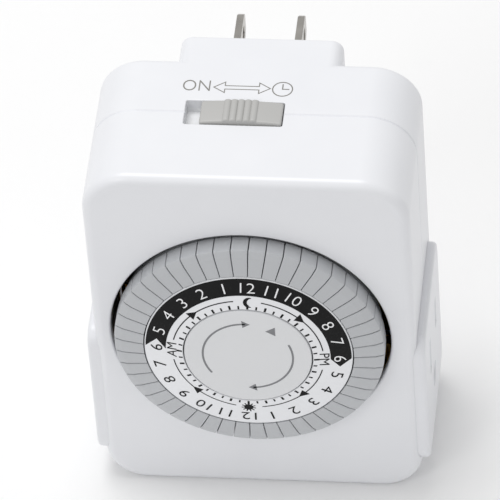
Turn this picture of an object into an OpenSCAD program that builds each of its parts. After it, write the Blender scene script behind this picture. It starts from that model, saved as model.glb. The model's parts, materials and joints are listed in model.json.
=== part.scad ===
// Plug-in mechanical 24-hour timer with a tripper dial and two side outlets.
// The dial faces -Y, the plug points along +Y, +Z is up.
// The origin is the centre of the flat base.

/* [Body] */
// Width of the body across the side walls
body_w = 66.6; // [58:0.5:90]
// Height of the body
body_h = 89; // [84:0.5:110]
// Depth of the body from its front face to its rear face
body_d = 35.6; // [33:0.1:45]
// Thickness of the shells' walls
wall = 2.2; // [1.6:0.1:2.6]
// Corner radius at the top of the body, seen from the front
top_corner_r = 10; // [8:0.5:12]
// Corner radius at the bottom of the body, seen from the front
base_corner_r = 8.5; // [7:0.5:11]
// Depth of the seam between the two shells, from the front face
seam_y = 20; // [19.5:0.1:22]
// Radius of the posts that take the housing screws
boss_r = 4; // [3.6:0.1:4.2]

/* [Dial] */
// Offset of the dial's axis from the body's middle
dial_x = -0.7; // [-1.5:0.1:0]
// Height of the dial's axis above the base
dial_z = 44.7; // [43.5:0.1:46]
// Radius over the rims of the trippers
tripper_rim_r = 27.9; // [27.5:0.1:28.8]
// Gap between the tripper rims and the edge of the opening
opening_gap = 1.1; // [0.4:0.1:1.2]
// Outer radius of the printed hour ring
hour_ring_r = 21.5; // [21:0.1:21.8]
// Radius of the fixed centre disc
disc_r = 13.15; // [10:0.05:15]
// Height of the centre disc above the front face
disc_rise = 5.75; // [5.6:0.05:6.4]
// Number of trippers round the dial
tripper_count = 48; // [48]
// Angle that the dial is set to, anticlockwise from midnight at the top
dial_set = -2.6; // [-180:0.1:180]
// Depth that a tripper is pushed in
tripper_travel = 2.5; // [1.5:0.1:2.5]
// Radius of the fixed post that the dial turns on
post_r = 3; // [2.6:0.1:3.4]
// Running clearance of a shaft in its hole, on the radius
running_gap = 0.05; // [0.02:0.01:0.08]

/* [Gears] */
// Tooth module of the gear train
gear_module = 0.5; // [0.5]
// Teeth of the internal ring on the dial carrier
ring_teeth = 72; // [72]
// Teeth of both pinions
pinion_teeth = 12; // [12]
// Teeth of the reduction wheel
wheel_teeth = 48; // [48]
// Play between meshed teeth, along the pitch circle
backlash = 0.12; // [0.08:0.01:0.2]

/* [Motor] */
// Radius of the motor's can
motor_r = 15; // [12:0.1:15]
// Length of the motor's can
motor_l = 12.4; // [9:0.1:12.5]

/* [Switch] */
// Width of the slot that the slider runs in, along the top
slot_l = 20.2; // [18:0.1:22]
// Depth of that slot, from front to back
slot_w = 6.9; // [6.2:0.1:7.4]
// Distance of the slot's front edge from the front face
slot_y = 16.5; // [16.2:0.1:17.5]
// Position of the slot's middle across the top
slot_x = -3.6; // [-4:0.1:-3]
// Length of the slider
slider_l = 16.8; // [15:0.1:17]
// Travel of the slider from the timer position to ON
slider_travel = 3.1; // [1.5:0.1:3.1]
// Height of the slider's crown above the top
slider_rise = 1.2; // [0.8:0.1:1.8]

/* [Outlets] */
// Width of an outlet plate, from front to back
outlet_w = 33; // [31:0.5:34]
// Height of an outlet plate
outlet_h = 35.5; // [33:0.5:36]
// Height of an outlet plate's lower edge above the base
outlet_z = 7; // [6:0.5:8]
// Distance that an outlet plate stands out from the side
outlet_rise = 1.8; // [1:0.1:2.5]
// Depth of the seat that an outlet plate sits in
outlet_seat = 1.1; // [0.6:0.1:1.2]
// Distance between the two blade slots of an outlet, and between the plug's blades
blade_pitch = 12.7; // [12.7]
// Distance from the blades' centre line to the earth pin
earth_drop = 11.9; // [11.9]
// Radius of the hole for the earth pin
earth_hole_r = 2.55; // [2.5:0.01:2.7]

/* [Plug] */
// Width of the plug boss
plug_w = 33.6; // [30:0.1:38]
// Height of the plug boss
plug_h = 32; // [28:0.5:36]
// Distance that the plug boss stands out behind the rear face
plug_d = 6.9; // [5:0.1:9]
// Length of a blade outside the boss
blade_l = 15.7; // [15:0.1:17]
// Width of a blade
blade_w = 6.35; // [6.35]
// Thickness of a blade
blade_t = 1.5; // [1.5]
// Radius of the earth pin
earth_pin_r = 2.4; // [2.3:0.01:2.45]
// Length of the earth pin outside the boss
earth_pin_l = 18.9; // [17:0.1:20]

/* [Hidden] */
$fn = 72;
HOURS = 24;

fit = 0.05;            // gap round a piece that is set in a slot or seat
cut = 1;               // how far a cutter runs past what it cuts
strip_t = 0.6;         // thickness of the sheet-metal strips

// Depths behind the front face. The dial stands in front of it, at negative depths.
ring_front_in = -5.6;  // hour ring at its inner edge
ring_front_out = -4.4; // hour ring at its outer edge
ring_back = -3.7;
web_back = -2.3;
gear_ring_y = [3.0, 6.0];
guide_y = [2.6, 4.0];
disc_t = 1.1;
plate_y = [7.6, 8.8];
wheel_y = [9.4, 10.8];
flange_y = [11.6, 12.6];
lever_y = [12.6, 14.2];
contact_y = [12.6, 16.6];
outlet_y = 17;         // middle of each outlet
feed_y = 28.4;         // front of the line strip
neutral_y = 30.5;      // front of the neutral strip
earth_y = 31.6;        // front of the earth strip
plug_y = body_d + plug_d;

// Dial
opening_r = tripper_rim_r + opening_gap;
leg_r = [tripper_rim_r - 3.5, tripper_rim_r - 1.5];
rim_wall = 0.6;        // thickness of a tripper's outer wall
rim_end = 0.9;         // depth that this wall reaches inside the opening
guide_r = tripper_rim_r - rim_wall - 0.2;
drum_r = [19.4, 21.4];
hub_r = 5.2;
tripper_angle = 360 / tripper_count;
tripper_gap = 0.4;     // degrees between two trippers
leg_angle = 5.2;
leg_end = 4.6;
tripper_inner_r = hour_ring_r + 0.25;

// Gears
pressure_angle = 25;
ring_pitch_r = gear_module * ring_teeth / 2;
pinion_pitch_r = gear_module * pinion_teeth / 2;
wheel_pitch_r = gear_module * wheel_teeth / 2;
wheel_z = dial_z + ring_pitch_r - pinion_pitch_r;
motor_z = wheel_z - wheel_pitch_r - pinion_pitch_r;
arbor_r = 0.8;
motor_shaft_r = 0.75;

// Switch
slot_z = body_h - wall;
tray_floor = 0.8;
tray_wall = 0.8;
tray_drop = 1.0;       // depth of the tray below the inside of the top
slider_z = slot_z - tray_drop + 0.4;
slider_right = slot_x + slot_l / 2 - 0.2;
slider_left = slider_right - slider_l;
peg_x = slider_left + 4.9;
peg_z = slot_z - 5.3;
peg_w = 2;
pivot = [dial_x - 12.9, dial_z + 21.4];
lever_tip = [peg_x - 1.5, slot_z - 3.9];
nose = [dial_x, dial_z + 29.3];
nose_r = 1.9;
lever_turn = slider_travel / (lever_tip[1] - pivot[1]);
leaf_x = pivot[0] - 3;
leaf_foot_z = pivot[1] - 3;
leaf_top_z = slot_z - 3.8;
rivet_z = leaf_top_z - 2;
push_z = pivot[1] + 12;
contact_gap = (push_z - pivot[1]) * lever_turn * (rivet_z - leaf_foot_z) / (push_z - leaf_foot_z);
rivet_h = 0.8;
fixed_x = leaf_x - 0.4 - rivet_h - contact_gap - 0.4;

// Outlets and plug
side_x = body_w / 2;
clip_x = side_x - 16;       // inner end of the blade clips
clip_end = side_x - 3;      // outer end of the clips
slot_front_y = outlet_y - blade_pitch / 2;
slot_rear_y = outlet_y + blade_pitch / 2;
outlet_mid_z = outlet_z + 22.5;
earth_z = outlet_mid_z - earth_drop;
blade_z = body_h - 10.2;
earth_pin_z = blade_z - earth_drop;
pin_neck_r = 2;             // the earth pin where it passes through the boss
line_low = outlet_mid_z - 10.5;
neutral_low = outlet_mid_z - 5.5;
strip_h = 3;

// Corner posts of the shells, and the posts that carry the movement plate
housing_posts = [
  [-(side_x - 6), 8], [side_x - 6, 8],
  [-(side_x - 6.2), body_h - 8], [side_x - 6.2, body_h - 8]];
plate_posts = [for (sx = [-1, 1], dz = [-32.1, 32.1]) [dial_x + sx * 18, dial_z + dz]];
standoffs = [
  [dial_x - 13.2, motor_z + 6.4], [dial_x + 13.2, motor_z + 6.4], [dial_x, motor_z - 16.6]];

function polar(r, a) = [r * cos(a), r * sin(a)];
// Involute helpers: the flank's polar angle at radius r, for a base circle rb
function involute(r, rb) = let (t = sqrt(max(0, (r / rb) * (r / rb) - 1))) t * 180 / PI - atan(t);
function half_tooth(r, rp, play) =
  let (rb = rp * cos(pressure_angle), thick = PI * gear_module / 2 - play)
  thick / 2 / rp * 180 / PI + involute(rp, rb) - involute(max(r, rb), rb);
// Outline of a gear whose first tooth is centred at angle 0
function gear_points(teeth, root, tip, play, flank = 5) =
  let (rp = gear_module * teeth / 2)
  [for (tooth = [0 : teeth - 1], side = [-1, 1], i = [0 : flank])
    let (k = side < 0 ? i : flank - i, r = root + (tip - root) * k / flank)
    polar(r, tooth * 360 / teeth + side * half_tooth(r, rp, play))];

// Sideways step from point i of a path to the edge of a strip of half-width 1 along it
function mitre(path, i) =
  let (a = i > 0 ? path[i] - path[i - 1] : path[1] - path[0],
       b = i < len(path) - 1 ? path[i + 1] - path[i] : a,
       ua = a / norm(a),
       ub = b / norm(b),
       sum = ua + ub)
  [-sum[1], sum[0]] / (1 + ua * ub);

// Places everything: modules are drawn with y as the depth behind the front face
module on_base() translate([0, -body_d / 2, 0]) children();
// Extrudes an x-z outline between two depths
module slab(y0, y1) rotate([90, 0, 0]) translate([0, 0, -y1]) linear_extrude(y1 - y0) children();
module rod_y(at, y0, y1, r) translate([at[0], y0, at[1]]) rotate([-90, 0, 0]) cylinder(h = y1 - y0, r = r);
// Turns a profile of [radius, depth] points about the dial's axis
module turned(from = 0, sweep = 360)
  translate([dial_x, 0, dial_z]) rotate([-90, 0, 0]) rotate([0, 0, -from - sweep])
    rotate_extrude(angle = sweep) children();
module rounded_rect(w, h, r) {
  square([w - 2 * r, h], center = true);
  square([w, h - 2 * r], center = true);
  for (sx = [-1, 1], sy = [-1, 1])
    translate([sx * (w / 2 - r), sy * (h / 2 - r)]) circle(r);
}
// Flat bar with round ends between two points
module bar(a, b, w) {
  d = b - a;
  translate(a) rotate(atan2(d[1], d[0])) translate([0, -w / 2]) square([norm(d), w]);
  translate(a) circle(d = w);
  translate(b) circle(d = w);
}
// Strip of sheet metal on edge along a path seen from above
module strip(path, z, h) translate([0, 0, z]) linear_extrude(h) polygon(concat(
  [for (i = [0 : len(path) - 1]) path[i] + strip_t / 2 * mitre(path, i)],
  [for (i = [len(path) - 1 : -1 : 0]) path[i] - strip_t / 2 * mitre(path, i)]));
module box(x, y, z) translate([x[0], y[0], z[0]]) cube([x[1] - x[0], y[1] - y[0], z[1] - z[0]]);
module on_both_sides() { children(); mirror([1, 0, 0]) children(); }

module body_outline(inset = 0) {
  w = body_w - 2 * inset;
  rt = top_corner_r - inset;
  rb = base_corner_r - inset;
  low = inset;
  high = body_h - inset;
  translate([-w / 2, low + rb]) square([w, high - low - rb - rt]);
  translate([-w / 2 + rb, low]) square([w - 2 * rb, high - low - rt]);
  translate([-w / 2 + rt, low + rb]) square([w - 2 * rt, high - low - rb]);
  for (sx = [-1, 1]) {
    translate([sx * (w / 2 - rt), high - rt]) circle(rt);
    translate([sx * (w / 2 - rb), low + rb]) circle(rb);
  }
}
module plug_outline(inset = 0) {
  r = 2.6;
  translate([0, body_h - plug_h / 2]) rounded_rect(plug_w - 2 * inset, plug_h - 2 * inset, r - inset);
}
module outlet_outline(inset = 0)
  translate([outlet_y, outlet_z + outlet_h / 2])
    rounded_rect(outlet_w - 2 * inset, outlet_h - 2 * inset, max(1, 4 - inset));
// Extrudes a y-z outline along x
module side_slab(x0, x1) translate([x0, 0, 0]) rotate([90, 0, 90]) linear_extrude(x1 - x0) children();

// What both shells give way to: the outlets, the slider and the screws
module shell_cuts() {
  on_both_sides() {
    side_slab(side_x - outlet_seat, side_x + cut) outlet_outline(-fit);
    side_slab(side_x - wall - cut, side_x) outlet_outline(6);
  }
  box([slot_x - slot_l / 2, slot_x + slot_l / 2], [slot_y, slot_y + slot_w], [slot_z - cut, body_h + cut]);
}

module front_cover() color("#D9DBDF") on_base() difference() {
  union() {
    difference() {
      slab(0, seam_y) body_outline();
      slab(wall, seam_y + cut) body_outline(wall);
    }
    for (at = housing_posts) rod_y(at, wall / 2, seam_y, boss_r);
    for (at = plate_posts) rod_y(at, wall / 2, plate_y[0], 2.5);
  }
  rod_y([dial_x, dial_z], -cut, wall + cut, opening_r);
  for (at = housing_posts) rod_y(at, seam_y - 12, seam_y + cut, 1.2);
  for (at = plate_posts) rod_y(at, plate_y[0] - 4.2, plate_y[0] + cut, 0.95);
  shell_cuts();
}

module rear_housing() color("#D4D6DA") on_base() difference() {
  union() {
    difference() {
      slab(seam_y, body_d) body_outline();
      slab(seam_y - cut, body_d - wall) body_outline(wall);
    }
    slab(body_d - wall, plug_y) plug_outline();
    for (at = housing_posts) rod_y(at, seam_y, body_d - wall / 2, boss_r);
  }
  slab(body_d - wall - cut, plug_y - wall) plug_outline(wall);
  for (at = housing_posts) {
    rod_y(at, seam_y - cut, body_d + cut, 1.7);
    rod_y(at, body_d - 4, body_d + cut, 2.9);
  }
  for (sx = [-1, 1])
    box([sx * blade_pitch / 2 - blade_t / 2 - fit, sx * blade_pitch / 2 + blade_t / 2 + fit],
        [plug_y - wall - cut, plug_y + cut], [blade_z - blade_w / 2 - fit, blade_z + blade_w / 2 + fit]);
  rod_y([0, earth_pin_z], plug_y - wall - cut, plug_y + cut, pin_neck_r + fit);
  rod_y([0, earth_pin_z], plug_y - 0.6, plug_y + cut, earth_pin_r + fit);
  shell_cuts();
}

// Long slot for neutral at the front of the right outlet and at the rear of the left one
module outlet_plate(neutral_at, line_at) difference() {
  union() {
    side_slab(side_x - outlet_seat, side_x + outlet_rise) outlet_outline();
    side_slab(side_x - wall, side_x - outlet_seat) outlet_outline(6 + fit);
  }
  side_slab(side_x - wall - cut, side_x + outlet_rise + cut) {
    translate([neutral_at, outlet_mid_z]) square([2.1, 8.8], center = true);
    translate([line_at, outlet_mid_z]) square([2.1, 7.2], center = true);
    translate([outlet_y, earth_z]) circle(earth_hole_r);
  }
}
module outlet_plate_right() color("#C9CACE") on_base() outlet_plate(slot_front_y, slot_rear_y);
module outlet_plate_left() color("#C9CACE") on_base() mirror([1, 0, 0]) outlet_plate(slot_rear_y, slot_front_y);

module housing_screws() color("silver") on_base() for (at = housing_posts) {
  rod_y(at, seam_y - 9, body_d - 4, 1.15);
  difference() {
    rod_y(at, body_d - 4, body_d - 2, 2.7);
    for (turn = [0, 90]) translate([at[0], body_d - 2, at[1]]) rotate([0, turn, 0]) cube([3.2, 1.6, 0.6], center = true);
  }
}
module rating_label() color("gainsboro") on_base()
  slab(body_d, body_d + 0.2) translate([0, body_h * 0.3]) rounded_rect(40, 32, 2);

// Blade with a broad root that bears on the inside of the boss
module blade(root_y) {
  tip = plug_y + blade_l;
  half = blade_w / 2;
  difference() {
    union() {
      translate([-blade_t / 2, 0, blade_z]) rotate([90, 0, 90]) linear_extrude(blade_t)
        polygon([[root_y, -half], [tip - 1.5, -half], [tip, 1.2 - half],
                 [tip, half - 1.2], [tip - 1.5, half], [root_y, half]]);
      box([-blade_t / 2, blade_t / 2], [root_y, plug_y - wall], [blade_z - 4.2, blade_z + 4.2]);
    }
    translate([-cut, plug_y + 11.7, blade_z]) rotate([0, 90, 0]) cylinder(h = 2 * cut, r = 1.6);
  }
}
module neutral_blade() color("silver") on_base()
  translate([-blade_pitch / 2, 0, 0]) blade(neutral_y + strip_t);
module line_blade() color("silver") on_base()
  translate([blade_pitch / 2, 0, 0]) blade(feed_y + strip_t);
module ground_pin() color("silver") on_base() {
  at = [0, earth_pin_z];
  tip = plug_y + earth_pin_l - earth_pin_r;
  rod_y(at, earth_y + strip_t, plug_y + fit, pin_neck_r);
  rod_y(at, plug_y - wall - 1.5, plug_y - wall, pin_neck_r + 1.2);
  rod_y(at, plug_y + fit, tip, earth_pin_r);
  translate([0, tip, earth_pin_z]) sphere(r = earth_pin_r);
}

// Strip metal between the plug, the switch and the outlets
strip_x = clip_x - strip_t / 2;   // middle of the strips that meet the clips
cross = [13.8, 3.5];              // where the strips turn to cross under the motor
// The run from a rear clip on the side sx to the front clip on the other side
function crossing(sx) = [
  [sx * strip_x, slot_rear_y - 1], [sx * cross[0], outlet_y + cross[1]],
  [-sx * cross[0], outlet_y - cross[1]], [-sx * strip_x, slot_front_y + 1.4],
  [-sx * strip_x, slot_front_y - 1]];
module neutral_bus() color("#C08A4E") on_base() {
  x = -blade_pitch / 2;
  y = neutral_y + strip_t / 2;
  box([x - 2.6, x + 2.6], [neutral_y, neutral_y + strip_t], [neutral_low, blade_z + 3.5]);
  strip(concat([[x, y], [-strip_x, y]], crossing(-1)), neutral_low, strip_h);
}
module line_feed_bus() color("#C08A4E") on_base() {
  x = fixed_x - rivet_h - strip_t / 2;
  y = feed_y + strip_t / 2;
  strip([[blade_pitch / 2 + 1.5, y], [x, y], [x, contact_y[0] + strip_t / 2]], blade_z + 1.2, 4);
}
module line_load_bus() color("#C08A4E") on_base() {
  strip(crossing(1), line_low, strip_h);
  box([-clip_x, -clip_x + strip_t], [contact_y[0] + 0.6, contact_y[1]], [line_low, leaf_foot_z - 0.6]);
  box([-clip_x, -clip_x + strip_t], [slot_front_y, contact_y[0] + 0.6], [line_low, line_low + strip_h]);
}
module ground_bus() color("#B9BBB6") on_base() {
  reach = clip_x + 1;
  low = earth_z - 4.6;
  box([-2.5, 2.5], [earth_y, earth_y + strip_t], [low, earth_pin_z + 2.8]);
  box([-strip_t / 2, strip_t / 2], [outlet_y, earth_y], [low, low + strip_h]);
  box([-reach, reach], [outlet_y - strip_t, outlet_y], [low, low + strip_h]);
}

// Pair of leaves that grip a blade, joined at their inner end
module clip(y, low) {
  gap = blade_t / 2 + 0.1;
  leaf = 0.5;
  high = outlet_mid_z + 4.5;
  box([clip_x, clip_x + strip_t], [y - gap - leaf, y + gap + leaf], [low, high]);
  for (sy = [-1, 1])
    box([clip_x + strip_t, clip_end], [y + sy * (gap + leaf / 2) - leaf / 2, y + sy * (gap + leaf / 2) + leaf / 2],
        [outlet_mid_z - 4.5, high]);
}
module neutral_clips() color("#D9A86C") on_base() {
  clip(slot_front_y, neutral_low);
  mirror([1, 0, 0]) clip(slot_rear_y, neutral_low);
}
module line_clips() color("#D9A86C") on_base() {
  clip(slot_rear_y, line_low);
  mirror([1, 0, 0]) clip(slot_front_y, line_low);
}
module ground_clips() color("#C4C6C1") on_base() on_both_sides()
  translate([clip_x + 1, outlet_y, earth_z]) rotate([0, 90, 0]) difference() {
    cylinder(h = clip_end - clip_x - 2, r = 3.4);
    translate([0, 0, strip_t]) cylinder(h = clip_end, r = 2.9);
    for (turn = [0, 90]) rotate(turn) translate([-5, -0.4, 4]) cube([10, 0.8, clip_end]);
  }

module movement_plate() color("#E7E4DC") on_base() difference() {
  union() {
    slab(plate_y[0], plate_y[1]) translate([dial_x, dial_z]) rounded_rect(43, 72, 3);
    rod_y([dial_x, dial_z], gear_ring_y[1] + 0.2, plate_y[0] + cut / 2, 6);
    rod_y([dial_x, dial_z], -5.6 + disc_t, plate_y[0] + cut / 2, post_r);
    for (at = standoffs) rod_y(at, plate_y[0] + cut / 2, flange_y[0], 2.1);
  }
  turned() polygon([[2.4, ring_back - 0.7], [post_r + cut, ring_back - 0.7],
                    [post_r + cut, ring_back - 0.05], [2.4, ring_back - 0.05]]);
  rod_y([dial_x, dial_z], -6, 1.5, 1.65);
  rod_y([dial_x, wheel_z], plate_y[0] - cut, plate_y[1] + cut, pinion_pitch_r + 1);
  for (at = plate_posts) rod_y(at, plate_y[0] - cut, plate_y[1] + cut, 1.1);
  for (at = standoffs) rod_y(at, flange_y[0] - 3.6, flange_y[0] + cut, 0.95);
  rod_y(pivot, plate_y[0] - cut, plate_y[1] + cut, 1);
  slab(plate_y[0] - cut, plate_y[1] + cut) translate(nose + [-0.7, 1.1]) rounded_rect(6.4, 7.4, 1);
}
module screw(at, head_y) {
  rod_y(at, head_y - 4.3, head_y, 0.9);
  difference() {
    rod_y(at, head_y, head_y + 1.2, 1.8);
    translate([at[0], head_y + 1.2, at[1]]) cube([2.6, 0.8, 0.5], center = true);
  }
}
module movement_screws() color("silver") on_base() {
  for (at = plate_posts) screw(at, plate_y[1]);
  for (at = standoffs) screw(at, flange_y[1]);
}

module motor_case() color("#B7BAC0") on_base() difference() {
  at = [dial_x, motor_z];
  union() {
    rod_y(at, flange_y[0], flange_y[1], motor_r);
    rod_y(at, flange_y[1], flange_y[1] + motor_l, motor_r);
    slab(flange_y[0], flange_y[1]) {
      for (hole = standoffs) bar(at, hole, 5);
      bar(at, [dial_x, wheel_z], 6);
    }
  }
  rod_y(at, flange_y[1] + 1, flange_y[1] + motor_l + cut, motor_r - 1);
  rod_y(at, flange_y[0] - cut, flange_y[1] + 2, motor_shaft_r + running_gap);
  for (hole = standoffs) rod_y(hole, flange_y[0] - cut, flange_y[1] + cut, 1.1);
  for (hole = standoffs) rod_y(hole, flange_y[1], flange_y[1] + motor_l + cut, 2.2);
  rod_y([dial_x, wheel_z], flange_y[0] - cut, flange_y[1] + cut, arbor_r);
}
module motor_coil() color("#A8552F") on_base() difference() {
  rod_y([dial_x, motor_z], flange_y[1] + 1, flange_y[1] + motor_l - 2, motor_r - 1.05);
  rod_y([dial_x, motor_z], flange_y[1], flange_y[1] + motor_l, 5);
  for (hole = standoffs) rod_y(hole, flange_y[1], flange_y[1] + motor_l, 2.3);
}
module motor_leads() color("#33363B") on_base() {
  coil_back = flange_y[1] + motor_l - 2;
  lead_r = 0.6;
  rise_y = feed_y + strip_t / 2;
  z = motor_z + 7.4;
  x = blade_pitch / 2 - 2.5;
  rod_y([-blade_pitch / 2, z], coil_back, neutral_y, lead_r);
  rod_y([x, z], coil_back, rise_y, lead_r);
  translate([x, rise_y, z]) sphere(r = lead_r);
  translate([x, rise_y, z]) cylinder(h = blade_z + 1.2 - z, r = lead_r);
}

module gear(at, teeth, y0, y1, turn = 0) slab(y0, y1) translate(at) rotate(turn)
  polygon(gear_points(teeth, gear_module * (teeth / 2 - 1.2), gear_module * (teeth / 2 + 0.9), backlash / 2));
module gear_arbor() color("silver") on_base() {
  rod_y([dial_x, wheel_z], gear_ring_y[0] - 0.1, flange_y[1], arbor_r);
  rod_y([dial_x, wheel_z], gear_ring_y[0] - 0.7, gear_ring_y[0] - 0.1, 1.6);
}
module reduction_gear() color("#E3D9B8") on_base() difference() {
  union() {
    gear([dial_x, wheel_z], pinion_teeth, gear_ring_y[0] + 0.2, wheel_y[0] + 0.1);
    gear([dial_x, wheel_z], wheel_teeth, wheel_y[0], wheel_y[1]);
  }
  rod_y([dial_x, wheel_z], 0, wheel_y[1] + cut, arbor_r + running_gap);
}
module motor_pinion() color("#C9CBD0") on_base() {
  gear([dial_x, motor_z], pinion_teeth, wheel_y[0] - 0.1, wheel_y[1] + 0.2, 180 / pinion_teeth);
  rod_y([dial_x, motor_z], wheel_y[1] + 0.2, flange_y[1] + 4, motor_shaft_r);
}

module dial_carrier() color("#DADCDF") on_base() difference() {
  union() {
    turned() polygon([
      [post_r + running_gap, ring_back], [drum_r[1], ring_back], [drum_r[1], gear_ring_y[1]],
      [drum_r[0], gear_ring_y[1]], [drum_r[0], web_back], [hub_r, web_back],
      [hub_r, gear_ring_y[1]], [post_r + running_gap, gear_ring_y[1]]]);
    slab(gear_ring_y[0], gear_ring_y[1]) translate([dial_x, dial_z]) difference() {
      circle(drum_r[0] + 0.1);
      polygon(gear_points(ring_teeth, ring_pitch_r - gear_module * 0.7, ring_pitch_r + gear_module * 1.2, -backlash / 2));
    }
    turned() translate([drum_r[1] - 0.1, guide_y[0]]) square([guide_r - drum_r[1] + 0.1, guide_y[1] - guide_y[0]]);
  }
  for (i = [0 : tripper_count - 1])
    turned(dial_set + (i + 0.5) * tripper_angle - leg_angle / 2 - 0.25, leg_angle + 0.5)
      translate([leg_r[0] - 0.1, guide_y[0] - cut]) square([leg_r[1] - leg_r[0] + 0.2, guide_y[1] - guide_y[0] + 2 * cut]);
}
module hour_ring() color("#E8E9EC") on_base() turned()
  polygon([[disc_r + 0.3, ring_front_in], [hour_ring_r, ring_front_out], [hour_ring_r, ring_back], [disc_r + 0.3, ring_back]]);
module centre_disc() color("#DDDEE0") on_base() {
  front = -disc_rise;
  turned() polygon([[0, front], [disc_r - 0.2, front], [disc_r, front + 0.2], [disc_r, front + disc_t], [0, front + disc_t]]);
  rod_y([dial_x, dial_z], front + disc_t - 0.1, 1, 1.6);
}
module dial_clip() color("silver") on_base() difference() {
  rod_y([dial_x, dial_z], ring_back - 0.65, ring_back - 0.1, 4.6);
  rod_y([dial_x, dial_z], ring_back - 1, ring_back, 2.45);
  box([dial_x - 1.9, dial_x + 1.9], [ring_back - 1, ring_back], [dial_z - 6, dial_z]);
}

// One tripper: a hooked cap like a wedge of the rim, and a leg that slides in the carrier's guide ring
module tripper(i) {
  from = dial_set + i * tripper_angle;
  cap = tripper_rim_r;
  turned(from + tripper_gap / 2, tripper_angle - tripper_gap)
    polygon([[tripper_inner_r, -4.35], [cap - 1.6, -3.6], [cap - 0.4, -3.15], [cap - 0.1, -2.95], [cap, -2.65],
             [cap, rim_end], [cap - rim_wall, rim_end], [cap - rim_wall, -2], [tripper_inner_r, -2.4]]);
  turned(from + (tripper_angle - leg_angle) / 2, leg_angle)
    polygon([[leg_r[0], -2.6], [leg_r[1], -2.6], [leg_r[1], leg_end], [leg_r[0], leg_end]]);
}
// The two half-hour trippers of one hour
module trippers(hour) color(hour % 2 == 0 ? "#B8BABC" : "#AEB0B3") on_base() {
  tripper(2 * hour - 2);
  tripper(2 * hour - 1);
}

module slider_guide() color("white") on_base() difference() {
  x0 = slot_x - slot_l / 2;
  y1 = slot_y + slot_w;
  floor_z = slot_z - tray_drop;
  box([x0 - tray_wall, x0 + slot_l + tray_wall], [slot_y - tray_wall, y1 + tray_wall], [floor_z - tray_floor, slot_z]);
  box([x0, x0 + slot_l], [slot_y, y1], [floor_z, slot_z + cut]);
  box([peg_x - slider_travel - peg_w / 2 - 0.6, peg_x + peg_w / 2 + 0.6], [slot_y + 1.4, y1 - 1.4], [floor_z - 2, floor_z + cut]);
}
module detent_spring() color("#C7A35A") on_base() {
  floor_z = slot_z - tray_drop;
  x = slider_right - 5;
  y = slot_y + slot_w / 2;
  box([x - 3, x + 4], [y - 0.8, y + 0.8], [floor_z, floor_z + 0.25]);
  translate([x, y + 0.8, floor_z + 0.2]) rotate([90, 0, 0]) difference() {
    cylinder(h = 1.6, r = 0.5);
    translate([-1, -1.05, -1]) cube([2, 1, 4]);
  }
}
module override_slider() color("#C4C4C1") on_base() difference() {
  y0 = slot_y + 0.25;
  y1 = slot_y + slot_w - 0.25;
  union() {
    box([slider_left, slider_right], [y0, y1], [slider_z, body_h + 0.3]);
    // the crown is the top of a large cylinder, so the grip is arched along its length
    intersection() {
      box([slider_left, slider_right], [y0, y1], [body_h, body_h + slider_rise]);
      crown_r = (slider_l * slider_l / 4 + slider_rise * slider_rise) / (2 * slider_rise);
      translate([(slider_left + slider_right) / 2, y1 + cut, body_h + slider_rise - crown_r]) rotate([90, 0, 0])
        cylinder(h = slot_w + 2 * cut, r = crown_r, $fn = 180);
    }
    box([peg_x - peg_w / 2, peg_x + peg_w / 2], [slot_y + 2.1, slot_y + 4.6], [peg_z, slider_z + cut]);
  }
  box([slider_right - 12, slider_right + cut], [slot_y + slot_w / 2 - 1.1, slot_y + slot_w / 2 + 1.1], [slider_z - cut, slider_z + 0.8]);
}

module switch_lever() color("#D8C9A3") on_base() difference() {
  arm_w = 3.2;
  push_at = [leaf_x + 1.4, push_z];
  elbow = pivot + [3.2, 12];
  union() {
    slab(lever_y[0], lever_y[1]) {
      bar(pivot, elbow, arm_w);
      bar(elbow, lever_tip - [1.1, 0.5], 2);
      bar(pivot + [2.2, 8], push_at, 2.4);
      bar(pivot, pivot + [5.5, 5.6], arm_w);
      bar(pivot + [5.5, 5.6], nose + [0, 1], 2.4);
      translate(pivot) circle(2.6);
    }
    rod_y(nose + [0, 0.6], plate_y[0] - 0.6, lever_y[1], 1.2);
    rod_y(nose, leg_end + 0.4, plate_y[0] - 0.6, nose_r);
    box([lever_tip[0] - 2.2, lever_tip[0]], [lever_y[0], slot_y + 4.6], [lever_tip[1] - 1.6, lever_tip[1] + 0.6]);
  }
  rod_y(pivot, lever_y[0] - cut, lever_y[1] + cut, 1 + running_gap);
}
module lever_pivot() color("silver") on_base() {
  rod_y(pivot, plate_y[0], lever_y[1] + 0.3, 1);
  rod_y(pivot, plate_y[1], lever_y[0] - 0.2, 1.6);
  rod_y(pivot, lever_y[1] + 0.2, lever_y[1] + 0.9, 1.8);
}
module contact_leaf() color("#D9A86C") on_base()
  box([leaf_x - 0.4, leaf_x], contact_y, [leaf_foot_z - 0.2, leaf_top_z]);
module moving_contact() color("#D7D7D2") on_base()
  translate([leaf_x - 0.4 - rivet_h, (contact_y[0] + contact_y[1]) / 2, rivet_z]) rotate([0, 90, 0]) cylinder(h = rivet_h, r = 1.6);
module fixed_contact() color("#D7D7D2") on_base()
  translate([fixed_x - rivet_h, (contact_y[0] + contact_y[1]) / 2, rivet_z]) rotate([0, 90, 0]) cylinder(h = rivet_h, r = 1.6);

front_cover();
rear_housing();
outlet_plate_right();
outlet_plate_left();
housing_screws();
rating_label();
neutral_blade();
line_blade();
ground_pin();
neutral_bus();
line_feed_bus();
line_load_bus();
ground_bus();
neutral_clips();
line_clips();
ground_clips();
movement_plate();
movement_screws();
motor_case();
motor_coil();
motor_leads();
gear_arbor();
lever_pivot();
fixed_contact();
slider_guide();
detent_spring();
centre_disc();
dial_clip();
dial_carrier();
hour_ring();
reduction_gear();
motor_pinion();
override_slider();
switch_lever();
contact_leaf();
moving_contact();
for (hour = [1 : HOURS]) trippers(hour);
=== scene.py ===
"""Looks of a plug-in mechanical 24-hour timer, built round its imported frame."""
import json
import math

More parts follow.
